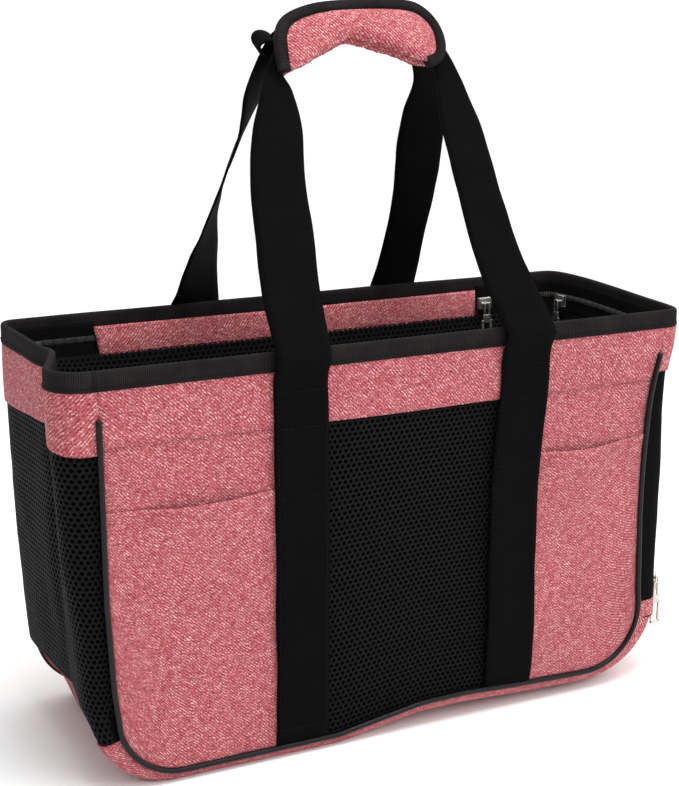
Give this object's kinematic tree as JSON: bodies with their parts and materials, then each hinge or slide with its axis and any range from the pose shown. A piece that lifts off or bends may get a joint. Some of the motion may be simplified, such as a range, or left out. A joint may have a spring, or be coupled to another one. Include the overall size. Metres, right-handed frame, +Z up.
{
  "type": "pet carrier bag",
  "caption": "Soft rectangular tote for carrying a small pet, with mesh windows, a zipped mesh lid and side door, slip pockets and webbing carry loops joined by a padded grip.",
  "frame": {"origin": "on the surface that the bag stands on, under the middle of its box", "axes": "+X to the bag's right along its length, +Y to the back, +Z up; the front wall with its pockets faces -Y"},
  "size_m": [0.46, 0.1723, 0.4913],
  "materials": {
    "linen": "heathered plain weave, matte",
    "mesh": "black three-layer spacer mesh",
    "webbing": "fine ribbed black webbing",
    "binding": "ribbed black edge tape",
    "piping": "black vinyl cord, slight gloss",
    "zip_tape": "black woven zip tape",
    "zip_coil": "black nylon coil",
    "nickel": "polished nickel plate",
    "board": "stiff sheet",
    "mat": "short plush over foam",
    "hook_loop": "black hook and loop tape"
  },
  "bodies": {
    "root": {"base_tray": "linen", "base_board": "board", "base_mat": "mat", "front_panel_left": "linen", "front_panel_right": "linen", "front_pocket_left": "linen", "front_pocket_right": "linen", "front_strap_left": "webbing", "front_strap_right": "webbing", "front_mesh_window": "mesh", "front_window_band": "linen", "front_piping": "piping", "right_corner_front": "zip_tape", "back_panel_left": "linen", "back_panel_right": "linen", "back_pocket_left": "linen", "back_pocket_right": "linen", "back_strap_left": "webbing", "back_strap_right": "webbing", "back_mesh_window": "mesh", "back_window_band": "linen", "back_piping": "piping", "right_corner_back": "zip_tape", "rim_binding": "binding", "lid_zip_outer_tape": "zip_tape", "lid_zip_coil": "zip_coil", "left_top_band": "linen", "left_mesh": "mesh", "left_base_band": "linen", "right_top_band": "linen", "right_base_band": "linen", "door_zip_tape": "zip_tape", "door_zip_coil": "zip_coil"},
    "door": {"door_mesh": "mesh", "door_edge": "zip_tape"},
    "door_zip_slider": {"door_slider": "nickel"},
    "door_zip_pull": {"door_pull": "nickel"},
    "lid": {"lid_zip_inner_tape": "zip_tape", "lid_hinge_band": "linen", "lid_mesh": "mesh"},
    "lid_back_slider": {"lid_slider_back": "nickel"},
    "lid_back_pull": {"lid_pull_back": "nickel"},
    "lid_end_slider": {"lid_slider_end": "nickel"},
    "lid_end_pull": {"lid_pull_end": "nickel"},
    "front_handle": {"front_handle_webbing": "webbing", "grip_back_pad": "linen", "grip_loop_strip": "hook_loop"},
    "grip_wrap": {"grip_flap": "linen", "grip_binding": "binding", "grip_hook_strip": "hook_loop"},
    "back_handle": {"back_handle_webbing": "webbing"}
  },
  "joints": [
    {"name": "front_handle_fold", "type": "hinge", "parent": "root", "child": "front_handle", "pos_m": [0, -0.086, 0.2785], "axis": [1, 0, 0], "range_deg": [0, 165]},
    {"name": "back_handle_fold", "type": "hinge", "parent": "root", "child": "back_handle", "pos_m": [0, 0.086, 0.2785], "axis": [-1, 0, 0], "range_deg": [0, 165]},
    {"name": "grip_wrap_open", "type": "hinge", "parent": "front_handle", "child": "grip_wrap", "pos_m": [0, -0.03314, 0.45113], "axis": [1, 0, 0], "range_deg": [0, 130]},
    {"name": "lid_open", "type": "hinge", "parent": "root", "child": "lid", "pos_m": [0, 0.074, 0.268], "axis": [-1, 0, 0], "range_deg": [0, 58]},
    {"name": "lid_back_slider_run", "type": "slide", "parent": "lid", "child": "lid_back_slider", "axis": [1, 0, 0], "range_m": [0, 0.038]},
    {"name": "lid_back_pull_swing", "type": "hinge", "parent": "lid_back_slider", "child": "lid_back_pull", "pos_m": [0.153, 0.0661, 0.261], "axis": [-1, 0, 0], "range_deg": [0, 110]},
    {"name": "lid_end_slider_run", "type": "slide", "parent": "lid", "child": "lid_end_slider", "axis": [0, -1, 0], "range_m": [0, 0.1]},
    {"name": "lid_end_pull_swing", "type": "hinge", "parent": "lid_end_slider", "child": "lid_end_pull", "pos_m": [0.2075, 0.052, 0.261], "axis": [0, 1, 0], "range_deg": [0, 110]},
    {"name": "door_open", "type": "hinge", "parent": "root", "child": "door", "pos_m": [0.2223, 0, 0.046], "axis": [0, 1, 0], "range_deg": [0, 95]},
    {"name": "door_slider_run", "type": "slide", "parent": "root", "child": "door_zip_slider", "axis": [0, 0, 1], "range_m": [0, 0.14]},
    {"name": "door_pull_swing", "type": "hinge", "parent": "door_zip_slider", "child": "door_zip_pull", "pos_m": [0.2293, -0.062, 0.064], "axis": [0, -1, 0], "range_deg": [0, 150]}
  ]
}
